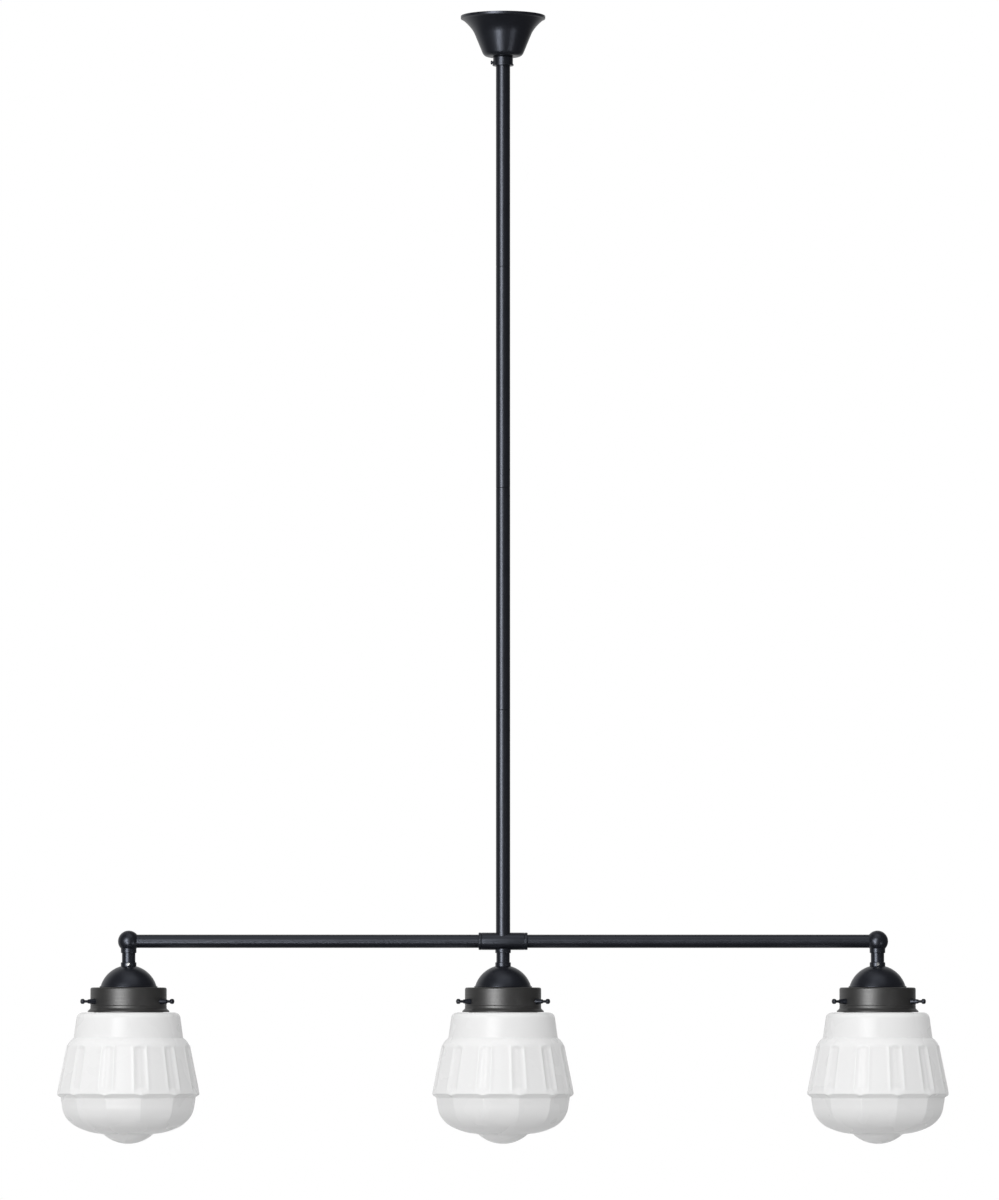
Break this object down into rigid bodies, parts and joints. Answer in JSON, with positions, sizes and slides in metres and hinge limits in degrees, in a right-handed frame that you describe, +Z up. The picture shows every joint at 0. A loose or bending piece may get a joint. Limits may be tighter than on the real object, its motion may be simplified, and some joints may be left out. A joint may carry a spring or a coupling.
{
  "type": "linear island pendant",
  "caption": "Linear island pendant: a straight rod under a bell canopy carries a slim bar with fluted opal glass shades, each held by thumb screws in a black gallery.",
  "frame": {"origin": "middle of the ceiling bracket's two screw slots, on the ceiling plane", "axes": "+Z up into the ceiling, +X along the bar to the right as seen from the front, -Y towards the front"},
  "size_m": [0.9986, 0.1586, 1.2707],
  "materials": {
    "satin_black": "satin",
    "opal_glass": "gloss",
    "bulb_white": "matte",
    "cap_aluminium": "satin",
    "porcelain": "gloss",
    "block_plastic": "matte",
    "zinc_steel": "satin",
    "screw_steel": "satin"
  },
  "bodies": {
    "ceiling": {"ceiling_bracket": "zinc_steel", "terminal_block": "block_plastic", "terminal_screw": "zinc_steel"},
    "swivel": {"swivel_stem": "zinc_steel", "swivel_fork": "zinc_steel", "swivel_pin": "zinc_steel"},
    "pendant": {"arm_left": "satin_black", "arm_right": "satin_black", "bulb_cap_centre": "cap_aluminium", "bulb_cap_left": "cap_aluminium", "bulb_cap_right": "cap_aluminium", "bulb_envelope_centre": "bulb_white", "bulb_envelope_left": "bulb_white", "bulb_envelope_right": "bulb_white", "cross_sleeve": "satin_black", "dome_centre": "satin_black", "dome_left": "satin_black", "dome_right": "satin_black", "end_ball_left": "satin_black", "end_ball_right": "satin_black", "gallery_centre": "satin_black", "gallery_left": "satin_black", "gallery_right": "satin_black", "hanger_eye": "zinc_steel", "lamp_nipples": "zinc_steel", "lampholder_centre": "porcelain", "lampholder_left": "porcelain", "lampholder_right": "porcelain", "neck_collar_centre": "satin_black", "neck_collar_left": "satin_black", "neck_collar_right": "satin_black", "neck_ring_centre": "satin_black", "neck_ring_left": "satin_black", "neck_ring_right": "satin_black", "neck_set_screws": "screw_steel", "neck_tube_centre": "satin_black", "neck_tube_left": "satin_black", "neck_tube_right": "satin_black", "rod_nipples": "zinc_steel", "rod_section_1": "satin_black", "rod_section_2": "satin_black", "rod_section_3": "satin_black", "rod_section_4": "satin_black", "screw_bushes": "satin_black", "shade_centre": "opal_glass", "shade_left": "opal_glass", "shade_right": "opal_glass"},
    "canopy": {"canopy": "satin_black", "canopy_collar": "satin_black"},
    "collar_screw": {"canopy_collar_screw": "satin_black"},
    "screw_centre_a": {"thumb_screw_centre_a": "satin_black"},
    "screw_centre_b": {"thumb_screw_centre_b": "satin_black"},
    "screw_centre_c": {"thumb_screw_centre_c": "satin_black"},
    "screw_left_a": {"thumb_screw_left_a": "satin_black"},
    "screw_left_b": {"thumb_screw_left_b": "satin_black"},
    "screw_left_c": {"thumb_screw_left_c": "satin_black"},
    "screw_right_a": {"thumb_screw_right_a": "satin_black"},
    "screw_right_b": {"thumb_screw_right_b": "satin_black"},
    "screw_right_c": {"thumb_screw_right_c": "satin_black"}
  },
  "joints": [
    {"name": "swivel_turn", "type": "hinge", "parent": "ceiling", "child": "swivel", "pos_m": [0, 0, -0.00925], "axis": [0, 0, 1], "range_deg": [-165, 165]},
    {"name": "rod_swing", "type": "hinge", "parent": "swivel", "child": "pendant", "pos_m": [0, 0, -0.02], "axis": [1, 0, 0], "range_deg": [-5, 5]},
    {"name": "canopy_slide", "type": "slide", "parent": "pendant", "child": "canopy", "axis": [0, 0, -1], "range_m": [0, 0.97]},
    {"name": "collar_screw_out", "type": "slide", "parent": "canopy", "child": "collar_screw", "axis": [-1, 0, 0], "range_m": [0, 0.002]},
    {"name": "screw_out_centre_a", "type": "slide", "parent": "pendant", "child": "screw_centre_a", "axis": [-0.866, -0.5, 0], "range_m": [0, 0.005]},
    {"name": "screw_out_centre_b", "type": "slide", "parent": "pendant", "child": "screw_centre_b", "axis": [0.866, -0.5, 0], "range_m": [0, 0.005]},
    {"name": "screw_out_centre_c", "type": "slide", "parent": "pendant", "child": "screw_centre_c", "axis": [0, 1, 0], "range_m": [0, 0.005]},
    {"name": "screw_out_left_a", "type": "slide", "parent": "pendant", "child": "screw_left_a", "axis": [-0.866, -0.5, 0], "range_m": [0, 0.005]},
    {"name": "screw_out_left_b", "type": "slide", "parent": "pendant", "child": "screw_left_b", "axis": [0.866, -0.5, 0], "range_m": [0, 0.005]},
    {"name": "screw_out_left_c", "type": "slide", "parent": "pendant", "child": "screw_left_c", "axis": [0, 1, 0], "range_m": [0, 0.005]},
    {"name": "screw_out_right_a", "type": "slide", "parent": "pendant", "child": "screw_right_a", "axis": [-0.866, -0.5, 0], "range_m": [0, 0.005]},
    {"name": "screw_out_right_b", "type": "slide", "parent": "pendant", "child": "screw_right_b", "axis": [0.866, -0.5, 0], "range_m": [0, 0.005]},
    {"name": "screw_out_right_c", "type": "slide", "parent": "pendant", "child": "screw_right_c", "axis": [0, 1, 0], "range_m": [0, 0.005]}
  ]
}
